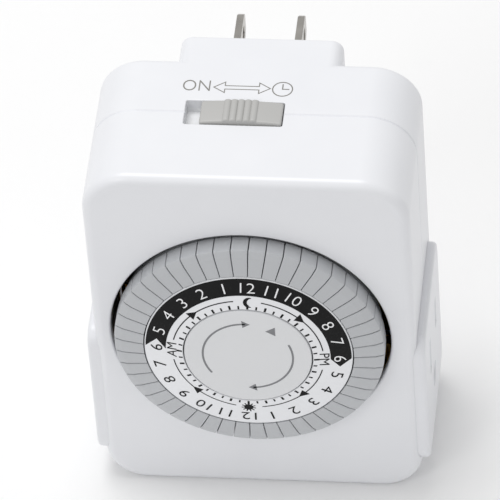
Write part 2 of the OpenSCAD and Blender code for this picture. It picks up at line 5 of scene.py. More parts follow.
import bmesh
import bpy
from mathutils import Matrix, Vector


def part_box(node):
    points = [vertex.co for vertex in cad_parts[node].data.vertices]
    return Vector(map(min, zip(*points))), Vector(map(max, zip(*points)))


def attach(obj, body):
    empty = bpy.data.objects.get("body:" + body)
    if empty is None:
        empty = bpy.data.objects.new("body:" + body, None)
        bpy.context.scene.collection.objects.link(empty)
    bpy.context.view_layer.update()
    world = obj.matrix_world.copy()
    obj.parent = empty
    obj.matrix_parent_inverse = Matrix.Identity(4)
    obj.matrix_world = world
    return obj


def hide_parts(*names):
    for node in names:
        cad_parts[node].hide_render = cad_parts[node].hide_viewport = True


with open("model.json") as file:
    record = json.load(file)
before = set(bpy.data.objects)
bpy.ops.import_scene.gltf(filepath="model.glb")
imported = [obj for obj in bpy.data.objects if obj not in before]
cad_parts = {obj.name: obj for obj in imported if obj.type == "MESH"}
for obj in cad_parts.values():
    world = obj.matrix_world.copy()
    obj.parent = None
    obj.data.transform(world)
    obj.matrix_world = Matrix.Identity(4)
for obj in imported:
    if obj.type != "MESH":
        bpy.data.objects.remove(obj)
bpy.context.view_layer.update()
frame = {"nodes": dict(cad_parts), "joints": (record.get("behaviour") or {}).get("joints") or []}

MM = 0.001

# ---------------------------------------------------------------- places, from the frame

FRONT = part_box("front_cover")[0].y
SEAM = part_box("front_cover")[1].y
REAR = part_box("rating_label")[0].y
PLUG_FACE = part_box("rear_housing")[1].y
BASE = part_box("front_cover")[0].z
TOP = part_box("front_cover")[1].z
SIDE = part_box("front_cover")[1].x
JOINTS = {joint["name"]: joint for joint in frame["joints"]}
DIAL = Vector(JOINTS["dial_spin"]["pos_m"])
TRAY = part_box("slider_guide")
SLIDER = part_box("override_slider")
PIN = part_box("ground_pin")
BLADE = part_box("line_blade")

# ---------------------------------------------------------------- sizes

PLAY = 0.05 * MM               # gap round a piece that is set in a slot or seat
WALL = 2.2 * MM
TOP_CORNER = 10 * MM
BASE_CORNER = 8.5 * MM
FRONT_FILLET = 2.1 * MM
REAR_FILLET = 1.6 * MM
SEAM_BREAK = 0.28 * MM         # edge break on both sides of the parting line
LIP = 0.5 * MM                 # rounding of an opening's edge
TRAY_WALL = 0.8 * MM
PLUG_HALF_W = 16.8 * MM
PLUG_HEIGHT = 32 * MM
PLUG_CORNER = 2.6 * MM
PLUG_FILLET = 0.7 * MM
OUTLET_CORNER = 4 * MM
OUTLET_FILLET = 0.9 * MM
OUTLET_SEAT = 1.1 * MM
SLOT_PITCH = 12.7 * MM
EARTH_DROP = 11.9 * MM
EARTH_HOLE = 2.55 * MM
SLOT_WIDTH = 2.1 * MM
NEUTRAL_SLOT = 8.8 * MM
LINE_SLOT = 7.2 * MM
SLOT_RISE = 22.5 * MM          # middle of an outlet's blade slots above the plate's lower edge
PLATE_MARGIN = 6 * MM          # from an outlet plate's edge to the window behind it
BLADE_HALF_T = 0.75 * MM
BLADE_HALF_W = 3.175 * MM
SHOULDER_HALF_W = 4.2 * MM     # the wider root that keeps a blade in the boss
PIN_R = 2.4 * MM
PIN_NECK_R = 2 * MM
POST_INSET = 6.1 * MM          # housing screws, in from the sides
POST_FROM_END = 8 * MM         # and from the base and the top
POST_R = 4 * MM
PILOT_R = 1.2 * MM
PILOT_DEPTH = 12 * MM
SHANK_R = 1.7 * MM
HEAD_R = 2.9 * MM
HEAD_DEPTH = 4 * MM

OPENING_R = 29 * MM
TRIPPERS = 48
TRIPPER_GAP = 0.4              # degrees between two trippers
LEG_ANGLE = 5.2                # degrees that a tripper's leg takes up
DIAL_SET = -2.6                # degrees that the dial is set round from midnight at the top
RING_IN = 13.45 * MM
RING_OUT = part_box("hour_ring")[1].x - DIAL.x
RING_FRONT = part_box("hour_ring")[0].y
RING_FALL = 1.2 * MM           # the printed ring falls away this much towards its rim
INK = 0.03 * MM                # thickness of a printed line
DISC_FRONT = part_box("centre_disc")[0].y + INK
NUMERAL = 2.5                  # height of the dial's numbers, in mm
NUMERAL_R = 18.95              # radius that they stand on, in mm
DAY_ARC_R = 15.6               # radius of the arrows round the hour ring, in mm
SUN_R = 15.75                  # radius that the sun, AM and PM stand on, in mm
MOON_R = 15.3
DISC_ARC_R = 9.3               # radius of the arrows on the centre disc, in mm
PEG_INSET = 4.9 * MM           # from the slider's left end to its peg

# ---------------------------------------------------------------- mesh tools


def piece_from(name, verts, faces):
    """A closed mesh with its faces turned outwards."""
    mesh = bpy.data.meshes.new(name)
    mesh.from_pydata([tuple(v) for v in verts], [], faces)
    form = bmesh.new()
    form.from_mesh(mesh)
    bmesh.ops.recalc_face_normals(form, faces=form.faces)
    form.to_mesh(mesh)
    form.free()
    piece = bpy.data.objects.new(name, mesh)
    bpy.context.scene.collection.objects.link(piece)
    return piece


def loft(name, rings, ring_shaped=False):
    """Joins rings of points, capped at both ends or closed on itself."""
    count = len(rings[0])
    verts = [point for ring in rings for point in ring]
    faces = []
    spans = len(rings) if ring_shaped else len(rings) - 1
    for span in range(spans):
        here = span * count
        there = (span + 1) % len(rings) * count
        for i in range(count):
            j = (i + 1) % count
            faces.append((here + i, here + j, there + j, there + i))
    if not ring_shaped:
        faces.append(tuple(range(count)))
        faces.append(tuple(range((len(rings) - 1) * count, len(rings) * count)))
    return piece_from(name, verts, faces)


def baked(piece):
    """Applies the piece's modifiers."""
    graph = bpy.context.evaluated_depsgraph_get()
    mesh = bpy.data.meshes.new_from_object(piece.evaluated_get(graph))
    piece.modifiers.clear()
    piece.data = mesh
    return piece


def combine(piece, others, operation):
    """Cuts others out of the piece, or adds them to it, and removes them."""
    for other in others:
        modifier = piece.modifiers.new("combine", "BOOLEAN")
        modifier.operation = operation
        modifier.solver = "EXACT"
        modifier.object = other
    baked(piece)
    for other in others:
        bpy.data.objects.remove(other)
    return piece


def joined(name, parts):
    """One piece out of several separate closed forms."""
    form = bmesh.new()
    for part in parts:
        form.from_mesh(part.data)
        bpy.data.objects.remove(part)
    mesh = bpy.data.meshes.new(name)
    form.to_mesh(mesh)
    form.free()
    piece = bpy.data.objects.new(name, mesh)
    bpy.context.scene.collection.objects.link(piece)
    return piece


def smooth(piece, sharp_over=32):
    """Smooth shading that keeps flats flat and edges over the angle crisp."""
    piece.data.shade_smooth()
    piece.data.set_sharp_from_angle(angle=math.radians(sharp_over))
    weighting = piece.modifiers.new("flats", "WEIGHTED_NORMAL")
    weighting.keep_sharp = True
    return piece


def arc(steps):
    """Fractions of a quarter turn, as (sine, cosine)."""
    turns = [math.pi / 2 * i / steps for i in range(steps + 1)]
    return [(math.sin(turn), math.cos(turn)) for turn in turns]


def outline(half_w, low, high, low_r, high_r, steps=16):
    """A rounded rectangle's points, anticlockwise from its lower right corner."""
    corners = [
        (half_w - low_r, low + low_r, low_r, -90), (half_w - high_r, high - high_r, high_r, 0),
        (high_r - half_w, high - high_r, high_r, 90), (low_r - half_w, low + low_r, low_r, 180)]
    points = []
    for u, v, r, start in corners:
        for i in range(steps + 1):
            turn = math.radians(start + 90 * i / steps)
            points.append((u + r * math.cos(turn), v + r * math.sin(turn)))
    return points


def fillet(depth, way, r, steps=6):
    """(inset, depth) from a face's edge round onto the side; way is the side's direction."""
    return [(r * (1 - s), depth + way * r * (1 - c)) for s, c in arc(steps)]


def at_depth(points, y):
    return [Vector((x, y, z)) for x, z in points]


def circle(r, y, centre=DIAL, steps=160):
    turns = [2 * math.pi * i / steps for i in range(steps)]
    return [Vector((centre.x + r * math.cos(t), y, centre.z + r * math.sin(t))) for t in turns]


def rod(r, y0, y1, x, z, steps=48):
    """A plain round cutter or post along Y."""
    centre = Vector((x, 0, z))
    return loft("rod", [circle(r, y0, centre, steps), circle(r, y1, centre, steps)])


def cutter_box(low, high):
    corners = [(low.x, low.y), (high.x, low.y), (high.x, high.y), (low.x, high.y)]
    return loft("block", [[Vector((x, y, z)) for x, y in corners] for z in (low.z, high.z)])


def rolled(name, profile, steps=160, ring_shaped=False, centre=DIAL):
    """Turns (radius, depth) points about an axis along Y."""
    return loft(name, [circle(r, y, centre, steps) for r, y in profile], ring_shaped)


# ---------------------------------------------------------------- materials


def linear(code):
    """An sRGB hex colour as the linear RGBA that shaders take."""
    channels = [int(code[i : i + 2], 16) / 255 for i in (1, 3, 5)]
    return [c / 12.92 if c <= 0.04045 else ((c + 0.055) / 1.055) ** 2.4 for c in channels] + [1.0]


def add(tree, kind, settings=(), **inputs):
    """Adds a node, sets it up and links or fills its inputs."""
    node = tree.nodes.new(kind)
    for key, value in dict(settings).items():
        setattr(node, key, value)
    for key, value in inputs.items():
        socket = node.inputs[int(key[1:]) if key[0] == "i" and key[1:].isdigit() else key.replace("_", " ")]
        if isinstance(value, bpy.types.NodeSocket):
            tree.links.new(value, socket)
        else:
            socket.default_value = value
    return node


def surface(name, colour, roughness, metallic=0.0, **sockets):
    """A material with its shader; what varies over it is added afterwards."""
    material = bpy.data.materials.new(name)
    material.use_nodes = True
    tree = material.node_tree
    shader = tree.nodes["Principled BSDF"]
    shader.inputs["Base Color"].default_value = linear(colour)
    shader.inputs["Roughness"].default_value = roughness
    shader.inputs["Metallic"].default_value = metallic
    for key, value in sockets.items():
        shader.inputs[key.replace("_", " ")].default_value = value
    place = add(tree, "ShaderNodeTexCoord").outputs["Object"]
    return material, tree, shader, place


def per_mm(millimetres):
    """The noise scale whose features are that many millimetres across."""
    return 1 / (millimetres * MM)


def grained(tree, shader, place, size_mm, depth_mm, detail=2.0):
    """A fine moulded or rolled grain as relief."""
    noise = add(tree, "ShaderNodeTexNoise", Vector=place, Scale=per_mm(size_mm), Detail=detail)
    bump = add(tree, "ShaderNodeBump", Height=noise.outputs[0], Strength=0.35, Distance=depth_mm * MM)
    tree.links.new(bump.outputs[0], shader.inputs["Normal"])


def clouded(tree, shader, place, size_mm, dark, light, low, high):
    """Slow drift of colour and gloss over the surface."""
    noise = add(tree, "ShaderNodeTexNoise", Vector=place, Scale=per_mm(size_mm), Detail=3.0)
    tint = add(tree, "ShaderNodeMix", {"data_type": "RGBA"}, Factor=noise.outputs[0])
    tint.inputs[6].default_value = linear(dark)
    tint.inputs[7].default_value = linear(light)
    tree.links.new(tint.outputs[2], shader.inputs["Base Color"])
    gloss = add(tree, "ShaderNodeMapRange", Value=noise.outputs[0], To_Min=low, To_Max=high)
    tree.links.new(gloss.outputs[0], shader.inputs["Roughness"])


def moulded_abs(name, dark, light, rough=(0.3, 0.38), grain_mm=0.35, grain_depth=0.006):
    """ABS from a lightly sparked mould: satin, with a very fine grain."""
    material, tree, shader, place = surface(name, light, rough[0], IOR=1.54)
    clouded(tree, shader, place, 14, dark, light, *rough)
    grained(tree, shader, place, grain_mm, grain_depth)
    return material


def printed_ink(name, thin, full):
    """Pad-printed ink: flat, slightly uneven in gloss, a little paler where it is thin."""
    material, tree, shader, place = surface(name, full, 0.5, IOR=1.5, Specular_IOR_Level=0.2)
    clouded(tree, shader, place, 1.5, full, thin, 0.5, 0.62)
    return material


def plated_metal(name, dark, light, rough=(0.22, 0.34), lines_mm=0.12):
    """Stamped and plated metal, with the drag lines of rolling along it."""
    material, tree, shader, place = surface(name, light, rough[0], metallic=1.0)
    clouded(tree, shader, place, 4, dark, light, *rough)
    stretched = add(tree, "ShaderNodeMapping", Vector=place, Scale=(1.0, 0.06, 1.0))
    grained(tree, shader, stretched.outputs[0], lines_mm, 0.004)
    return material


def enamelled_wire(name):
    """A coil taped over its winding: fine turns show as ridges round it."""
    material, tree, shader, place = surface(name, "#8A4322", 0.42, metallic=0.35)
    wave = add(tree, "ShaderNodeTexWave", {"bands_direction": "Y"},
               Vector=place, Scale=per_mm(1.6), Distortion=0.3)
    bump = add(tree, "ShaderNodeBump", Height=wave.outputs[1], Strength=0.5, Distance=0.05 * MM)
    tree.links.new(bump.outputs[0], shader.inputs["Normal"])
    return material


# Both shells: satin, so highlights are soft; a slow drift between two whites keeps large flats alive
WHITE_ABS = moulded_abs("white ABS, satin moulded", "#E9EAEE", "#EFF0F3")
# The outlet plates come from another mould, a touch duller than the shells
OUTLET_ABS = moulded_abs("white ABS, outlet face", "#E8E9ED", "#EEEFF2", rough=(0.32, 0.4))
# The tray under the slider is an unpigmented-looking, brighter white
TRAY_ABS = moulded_abs("bright white ABS", "#F1F2F4", "#F6F7F8")
# Trippers and dial carrier: mid grey with a fine matt grain
GREY_ABS = moulded_abs("light grey ABS, trippers", "#B9BBBE", "#C2C4C7", rough=(0.36, 0.44))
# The slider is the warmest and mattest grey, because fingers push it
SLIDER_ABS = moulded_abs("warm grey ABS, slider", "#B4B4B2", "#BCBBB9", rough=(0.4, 0.48))
# The hour ring's printed face is smoother than the mouldings round it
LABEL_WHITE = moulded_abs("white printed label", "#EDEEF1", "#F2F3F6", rough=(0.3, 0.36), grain_depth=0.002)
DISC_ABS = moulded_abs("off-white ABS, disc", "#DEDFE1", "#E4E5E7", rough=(0.34, 0.42))
# Gears, lever and movement plate: natural nylon, creamy and dull
NYLON = moulded_abs("natural nylon", "#DCD7C8", "#E6E1D4", rough=(0.45, 0.55))
# Inks lie flat and take hardly any reflection
BLACK_INK = printed_ink("black printing ink", "#0C0C0E", "#060607")
WHITE_INK = printed_ink("white printing ink", "#F2F3F5", "#FAFAFB")
GREY_INK = printed_ink("grey printing ink", "#8F8D89", "#86847F")
DISC_INK = printed_ink("grey printing ink, disc", "#8C8D90", "#838487")
# Blades, earth pin and contacts: warm nickel over brass; then zinc, brass and tin for the hidden metal
NICKEL = plated_metal("nickel-plated brass", "#A9A6A1", "#C4C1BC")
ZINC = plated_metal("zinc-plated steel", "#A8ABB0", "#C3C6CA", rough=(0.3, 0.42))
BRASS = plated_metal("spring brass strip", "#B08A4A", "#CFA862", rough=(0.28, 0.4))
TIN = plated_metal("tinned copper strip", "#B5B6B2", "#CDCDC9", rough=(0.34, 0.46))
# Sealed inside: the motor's taped winding, its sleeved leads, and the blank label on the back
COIL = enamelled_wire("enamelled copper winding")
SLEEVE = moulded_abs("black PVC sleeve", "#1C1D1F", "#26282B", rough=(0.5, 0.6))
FOIL = moulded_abs("matt label foil", "#D3D5D8", "#DCDEE1", rough=(0.5, 0.58), grain_depth=0.002)


def finish(piece, material, slot, body, *nodes):
    """Gives a piece its finish, hangs it on the body that it rides on, and hides the nodes that it stands
    for.
    """
    piece.data.materials.clear()
    piece.data.materials.append(material)
    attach(piece, body)
    if nodes:
        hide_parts(*nodes)
    return piece


# ---------------------------------------------------------------- the two shells


def body_ring(inset, y):
    return at_depth(outline(
        SIDE - inset, BASE + inset, TOP - inset, BASE_CORNER - inset, TOP_CORNER - inset), y)


def plug_ring(inset, y):
    return at_depth(outline(
        PLUG_HALF_W - inset, TOP - PLUG_HEIGHT + inset, TOP - inset,
        PLUG_CORNER - inset, PLUG_CORNER - inset), y)


def slider_slot():
    """Cutter for the slot in the top, with a rounded lip."""
    x0, x1 = TRAY[0].x + TRAY_WALL, TRAY[1].x - TRAY_WALL
    y0, y1 = TRAY[0].y + TRAY_WALL, TRAY[1].y - TRAY_WALL
    middle = Vector(((x0 + x1) / 2, (y0 + y1) / 2))
    lip = 0.25 * MM
    rings = []
    levels = [(0, TOP - WALL - MM)] + [(lip * (1 - c), TOP - lip * (1 - s)) for s, c in arc(4)]
    for grow, z in levels + [(lip + MM, TOP + MM)]:
        half = Vector(((x1 - x0) / 2 + grow, (y1 - y0) / 2 + grow))
        points = outline(half.x, -half.y, half.y, 0.4 * MM + grow, 0.4 * MM + grow, 6)
        rings.append([Vector((middle.x + u, middle.y + v, z)) for u, v in points])
    return loft("slot", rings)


def outlet_window(sign):
    """Cutter for an outlet plate's seat in the side, and the window behind it."""
    low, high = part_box("outlet_plate_right")
    seat_low = Vector((SIDE - OUTLET_SEAT, low.y - PLAY, low.z - PLAY))
    seat_high = Vector((SIDE + MM, high.y + PLAY, high.z + PLAY))
    hole_low = Vector((SIDE - WALL - MM, low.y + PLATE_MARGIN, low.z + PLATE_MARGIN))
    hole_high = Vector((SIDE, high.y - PLATE_MARGIN, high.z - PLATE_MARGIN))
    cutters = []
    for a, b, r in ((seat_low, seat_high, OUTLET_CORNER), (hole_low, hole_high, MM)):
        points = outline((b.y - a.y) / 2, a.z, b.z, r, r, 10)
        cutters.append(loft("window", [
            [Vector((sign * x, (a.y + b.y) / 2 + u, v)) for u, v in points] for x in (a.x, b.x)]))
    return cutters


def housing_posts():
    """Where the four housing screws go, as (x, z)."""
    heights = (BASE + POST_FROM_END, TOP - POST_FROM_END)
    return [(sx * (SIDE - POST_INSET), z) for sx in (-1, 1) for z in heights]


def front_shell():
    """The front shell: a rounded tray with the dial opening in its face."""
    rings = [body_ring(inset, y) for inset, y in fillet(FRONT, 1, FRONT_FILLET, 8)]
    rings += [body_ring(0, SEAM - SEAM_BREAK), body_ring(SEAM_BREAK, SEAM)]
    rings += [body_ring(WALL, SEAM), body_ring(WALL, FRONT + WALL)]
    shell = loft("front_shell", rings)
    posts = [rod(POST_R, FRONT + WALL / 2, SEAM, x, z) for x, z in housing_posts()]
    combine(shell, posts, "UNION")
    flare = [(OPENING_R + LIP * (1 - s), FRONT + LIP * (1 - c)) for s, c in arc(6)]
    opening = [(OPENING_R + LIP + MM, FRONT - MM)] + flare + [(OPENING_R, FRONT + WALL + MM)]
    cutters = [rolled("opening", opening), slider_slot()]
    cutters += outlet_window(1) + outlet_window(-1)
    cutters += [rod(PILOT_R, SEAM - PILOT_DEPTH, SEAM + MM, x, z) for x, z in housing_posts()]
    combine(shell, cutters, "DIFFERENCE")
    return finish(smooth(shell), WHITE_ABS, "shell_plastic", "housing", "front_cover")


def rear_shell():
    """The rear shell with its plug boss, the blades' slots and the screw wells."""
    rings = [body_ring(WALL, REAR - WALL), body_ring(WALL, SEAM), body_ring(SEAM_BREAK, SEAM)]
    rings += [body_ring(0, SEAM + SEAM_BREAK)]
    rings += [body_ring(inset, y) for inset, y in reversed(fillet(REAR, -1, REAR_FILLET))]
    shell = loft("rear_shell", rings)
    boss = [plug_ring(0, REAR - WALL)]
    boss += [plug_ring(inset, y) for inset, y in reversed(fillet(PLUG_FACE, -1, PLUG_FILLET))]
    posts = [rod(POST_R, SEAM, REAR - WALL / 2, x, z) for x, z in housing_posts()]
    combine(shell, [loft("boss", boss)] + posts, "UNION")
    hollow = loft("hollow", [plug_ring(WALL, REAR - WALL - MM), plug_ring(WALL, PLUG_FACE - WALL)])
    cutters = [hollow, slider_slot()] + outlet_window(1) + outlet_window(-1)
    for x, z in housing_posts():
        cutters.append(rod(SHANK_R, SEAM - MM, REAR, x, z))
        cutters.append(rod(HEAD_R, REAR - HEAD_DEPTH, REAR + MM, x, z))
    play = Vector((PLAY, 0, PLAY))
    for x in (BLADE[0].x, -BLADE[1].x):
        z = (BLADE[0].z + BLADE[1].z) / 2
        low = Vector((x, PLUG_FACE - WALL - MM, z - BLADE_HALF_W)) - play
        high = Vector((x + BLADE[1].x - BLADE[0].x, PLUG_FACE + MM, z + BLADE_HALF_W)) + play
        cutters.append(cutter_box(low, high))
    pin_z = (PIN[0].z + PIN[1].z) / 2
    cutters.append(rod(PIN_R + PLAY, PLUG_FACE - WALL - MM, PLUG_FACE + MM, 0, pin_z))
    combine(shell, cutters, "DIFFERENCE")
    return finish(smooth(shell), WHITE_ABS, "shell_plastic", "housing", "rear_housing")


def outlet_face(name, sign, neutral_way):
    """A raised outlet plate with rounded edges, two blade slots and a round earth hole."""
    low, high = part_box(name)
    inner = min(abs(low.x), abs(high.x))
    outer = max(abs(low.x), abs(high.x))
    middle = (low.y + high.y) / 2
    seat = SIDE - OUTLET_SEAT

    def ring(inset, x, margin=0.0, corner=OUTLET_CORNER):
        points = outline((high.y - low.y) / 2 - margin - inset, low.z + margin + inset,
                         high.z - margin - inset, corner - inset, corner - inset, 12)
        return [Vector((sign * x, middle + u, v)) for u, v in points]

    spigot = PLATE_MARGIN + PLAY
    rings = [ring(0, inner, spigot, MM), ring(0, seat, spigot, MM), ring(0, seat)]
    rings += [ring(inset, x) for inset, x in reversed(fillet(outer, -1, OUTLET_FILLET))]
    plate = loft("outlet_face_" + ("right" if sign > 0 else "left"), rings)
    slot_z = low.z + SLOT_RISE
    cutters = []
    for way, height in ((neutral_way, NEUTRAL_SLOT), (-neutral_way, LINE_SLOT)):
        y = middle + way * SLOT_PITCH / 2
        levels = [(0, inner - MM), (0, outer - 0.3 * MM), (0.25 * MM, outer + 0.02 * MM)]
        rings = []
        for grow, x in levels:
            points = outline(SLOT_WIDTH / 2 + grow, slot_z - height / 2 - grow,
                             slot_z + height / 2 + grow, 0.3 * MM + grow, 0.3 * MM + grow, 4)
            rings.append([Vector((sign * x, y + u, v)) for u, v in points])
        cutters.append(loft("blade slot", rings))
    turns = [2 * math.pi * i / 64 for i in range(64)]
    lip, past = 0.35 * MM, 0.02 * MM
    levels = [(EARTH_HOLE, inner - MM), (EARTH_HOLE, outer - lip), (EARTH_HOLE + lip, outer + past)]
    earth_z = slot_z - EARTH_DROP
    cutters.append(loft("earth hole", [
        [Vector((sign * x, middle + r * math.cos(t), earth_z + r * math.sin(t))) for t in turns]
        for r, x in levels]))
    combine(plate, cutters, "DIFFERENCE")
    return finish(smooth(plate), OUTLET_ABS, "outlet_plastic", "housing", name)


def blade_piece(name, sign, node):
    """A flat blade with rolled edges, a pointed end and the hole near its tip."""
    low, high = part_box(node)
    tip = high.y
    z = (low.z + high.z) / 2
    x = sign * SLOT_PITCH / 2
    point, tip_corner, hole_back = 1.5 * MM, 1.2 * MM, 4 * MM

    def ring(inset, offset):
        w = BLADE_HALF_W - inset
        end = tip - inset
        corners = [(low.y, -w), (end - point, -w), (end, tip_corner - w), (end, w - tip_corner),
                   (end - point, w), (low.y, w)]
        return [Vector((x + offset, y, z + v)) for y, v in corners]

    soft = 0.22 * MM
    sides = [(inset, -BLADE_HALF_T + d) for inset, d in fillet(0, 1, soft, 3)]
    sides += [(inset, BLADE_HALF_T + d) for inset, d in reversed(fillet(0, -1, soft, 3))]
    blade = loft(name, [ring(inset, offset) for inset, offset in sides])
    shoulder_low = Vector((x - BLADE_HALF_T, low.y, z - SHOULDER_HALF_W))
    shoulder_high = Vector((x + BLADE_HALF_T, PLUG_FACE - WALL, z + SHOULDER_HALF_W))
    combine(blade, [cutter_box(shoulder_low, shoulder_high)], "UNION")
    hole = []
    turns = [2 * math.pi * i / 40 for i in range(40)]
    # the hole's radius and how far across the blade it has it, flaring a little at both faces
    for r, offset in ((2.6, -1.75), (1.6, -0.6), (1.6, 0.6), (2.6, 1.75)):
        hole.append([
            Vector((x + offset * MM, tip - hole_back + r * MM * math.cos(t), z + r * MM * math.sin(t)))
            for t in turns])
    combine(blade, [loft("hole", hole)], "DIFFERENCE")
    return finish(smooth(blade), NICKEL, "nickel", "housing", node)


def earth_pin():
    """The round earth pin, stepped where it is held in the boss, with a domed end."""
    centre = Vector((0, 0, (PIN[0].z + PIN[1].z) / 2))
    dome = PIN[1].y - PIN_R
    collar = PLUG_FACE - WALL - 1.5 * MM
    sunk = PLUG_FACE - 0.4 * MM
    clear = PLUG_FACE + PLAY
    profile = [(PIN_NECK_R, PIN[0].y), (PIN_NECK_R, collar), (PIN_R, collar)]
    profile += [(PIN_R, sunk), (PIN_NECK_R, sunk), (PIN_NECK_R, clear)]
    profile += [(PIN_R - 0.2 * MM, clear), (PIN_R, clear + 0.2 * MM)]
    profile += [(PIN_R * max(c, 0.02), dome + PIN_R * s) for s, c in arc(10)]
    pin = rolled("earth_pin", profile, 64, centre=centre)
    return finish(smooth(pin, 40), NICKEL, "nickel", "housing", "ground_pin")


# ---------------------------------------------------------------- the slider


def slider_grip():
    """The slider: arched along its length, with five rounded ribs across it."""
    low, high = SLIDER
    length = high.x - low.x
    half_w = (high.y - low.y) / 2
    middle = (low.y + high.y) / 2
    foot = TOP - 2.8 * MM          # underside, inside the slot
    rise = high.z - TOP
    edge, rib_pitch, rib_height, ribs = 0.5 * MM, 1.4 * MM, 0.42 * MM, 5
    shoulder = 0.25 * MM
    crown = rise - rib_height
    rib_middle = low.x + 0.49 * length

    def top_at(x):
        along = 2 * (x - low.x) / length - 1
        rib = (x - rib_middle) / rib_pitch
        ridge = 0.0
        if abs(rib) < ribs / 2:
            ridge = math.sqrt(max(0.0, math.cos(math.pi * (rib - round(rib)))))
        return TOP + shoulder + (crown - shoulder) * (1 - along * along) + rib_height * ridge

    def section(x, inset):
        top = top_at(min(max(x, low.x), high.x)) - inset
        half = half_w - inset
        points = [(-half, foot + inset), (half, foot + inset)]
        points += [(half - edge * (1 - c), top - edge * (1 - s)) for s, c in arc(5)]
        points += [(-half + edge * (1 - c), top - edge * (1 - s)) for s, c in reversed(arc(5))]
        return [Vector((x, middle + v, z)) for v, z in points]

    steps = 240
    ends = 0.35 * MM
    rings = [section(low.x + depth, inset) for inset, depth in fillet(0, 1, ends, 4)]
    for i in range(1, steps):
        rings.append(section(low.x + ends + (length - 2 * ends) * i / steps, 0))
    rings += [section(high.x + depth, inset) for inset, depth in reversed(fillet(0, -1, ends, 4))]
    grip = loft("slider_grip", rings)
    peg_x = low.x + PEG_INSET
    peg = cutter_box(
        Vector((peg_x - MM, middle - 1.35 * MM, low.z)),
        Vector((peg_x + MM, middle + 1.15 * MM, foot + 0.4 * MM)))
    combine(grip, [peg], "UNION")
    recess = cutter_box(
        Vector((high.x - 12 * MM, middle - 1.1 * MM, foot - MM)),
        Vector((high.x + MM, middle + 1.1 * MM, foot + 0.8 * MM)))
    combine(grip, [recess], "DIFFERENCE")
    return finish(smooth(grip, 40), SLIDER_ABS, "slider_plastic", "slider", "override_slider")


# ---------------------------------------------------------------- the dial

# A tripper's cap and leg, as (radius, depth from the front face) in mm
CAP_PROFILE = [
    (21.75, -4.35), (26.15, -3.68), (26.45, -3.55), (27.45, -3.19), (27.7, -3.05), (27.85, -2.9),
    (27.9, -2.6), (27.9, 0.8), (27.8, 0.9), (27.3, 0.9), (27.3, -2), (21.75, -2.4)]
LEG_PROFILE = [(24.4, -2.6), (26.4, -2.6), (26.4, 4.3), (26.2, 4.6), (24.6, 4.6), (24.4, 4.3)]


def shrunk(points, by):
    """A profile moved inwards all round."""
    count = len(points)
    area = sum(points[i - 1][0] * points[i][1] - points[i][0] * points[i - 1][1] for i in range(count))
    turn = 1 if area > 0 else -1
    moved = []
    for i in range(count):
        here = Vector(points[i])
        into = (here - Vector(points[i - 1])).normalized()
        out = (Vector(points[(i + 1) % count]) - here).normalized()
        side = Vector((-into.y - out.y, into.x + out.x)) * turn
        moved.append(tuple(here + side * by / max(0.35, 1 + into.dot(out))))
    return moved


def wedge(name, profile, start, end, soft_mm):
    """A profile of (radius, depth) in mm swept between two angles, with softened ends."""
    rings = []
    soft_angle = math.degrees(soft_mm / profile[0][0])
    stations = [(soft_mm * (1 - s), soft_angle * (1 - c)) for s, c in arc(3)]
    turns = [(inset, start + angle) for inset, angle in stations]
    inside = [start + soft_angle + (end - start - 2 * soft_angle) * i / 4 for i in range(1, 4)]
    turns += [(0, angle) for angle in inside]
    turns += [(inset, end - angle) for inset, angle in reversed(stations)]
    for inset, angle in turns:
        c, s = math.cos(math.radians(angle)), math.sin(math.radians(angle))
        rings.append([Vector((DIAL.x + r * MM * c, FRONT + y * MM, DIAL.z + r * MM * s))
                      for r, y in shrunk(profile, inset)])
    return loft(name, rings)


def tripper_pair(hour):
    """The two half-hour trippers of one hour."""
    step = 360 / TRIPPERS
    half_gap = TRIPPER_GAP / 2
    cap_edge, leg_edge = 0.16, 0.1     # rounding of their ends, in mm
    parts = []
    for i in (2 * hour - 2, 2 * hour - 1):
        start = DIAL_SET + i * step
        leg_start = start + (step - LEG_ANGLE) / 2
        cap = wedge("cap", CAP_PROFILE, start + half_gap, start + step - half_gap, cap_edge)
        leg = wedge("leg", LEG_PROFILE, leg_start, leg_start + LEG_ANGLE, leg_edge)
        parts.append(combine(cap, [leg], "UNION"))
    pair = joined(f"tripper_pair_{hour}", parts)
    return finish(smooth(pair, 30), GREY_ABS, "tripper_plastic", f"trippers_{hour}", f"trippers_{hour}")


def ring_face():
    """The hour ring's label plate, falling away towards its softened rim."""
    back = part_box("hour_ring")[1].y
    soft = 0.25 * MM
    profile = [(RING_IN, back), (RING_IN, RING_FRONT + 0.1 * MM), (RING_IN + 0.1 * MM, RING_FRONT)]
    profile += [(RING_OUT - soft + soft * s, RING_FRONT + RING_FALL + soft * (1 - c)) for s, c in arc(5)]
    profile += [(RING_OUT, back)]
    ring = rolled("hour_ring_face", profile, 240, ring_shaped=True)
    return finish(smooth(ring), LABEL_WHITE, "dial_print", "dial", "hour_ring")


def disc_face():
    """The fixed centre disc with a softened rim, on its snap-in stem."""
    low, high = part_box("centre_disc")
    r = high.x - DIAL.x
    thick, soft = 1.1 * MM, 0.22 * MM
    back = low.y + thick
    profile = [(1.6 * MM, high.y), (1.6 * MM, back), (r - 0.1 * MM, back), (r, back - 0.1 * MM)]
    profile += [(r - soft + soft * c, DISC_FRONT + soft * (1 - s)) for s, c in arc(5)]
    disc = rolled("centre_disc_face", profile, 200)
    return finish(smooth(disc), DISC_ABS, "dial_print", "housing", "centre_disc")


# ---------------------------------------------------------------- printing


def on_ring(u, v, lift):
    """A point of the hour ring's printing, in mm about the dial's axis, turned with the dial."""
    turn = math.radians(DIAL_SET)
    x = (u * math.cos(turn) - v * math.sin(turn)) * MM
    z = (u * math.sin(turn) + v * math.cos(turn)) * MM
    share = (math.hypot(x, z) - RING_IN) / (RING_OUT - RING_IN)
    return Vector((DIAL.x + x, RING_FRONT + RING_FALL * share - lift, DIAL.z + z))


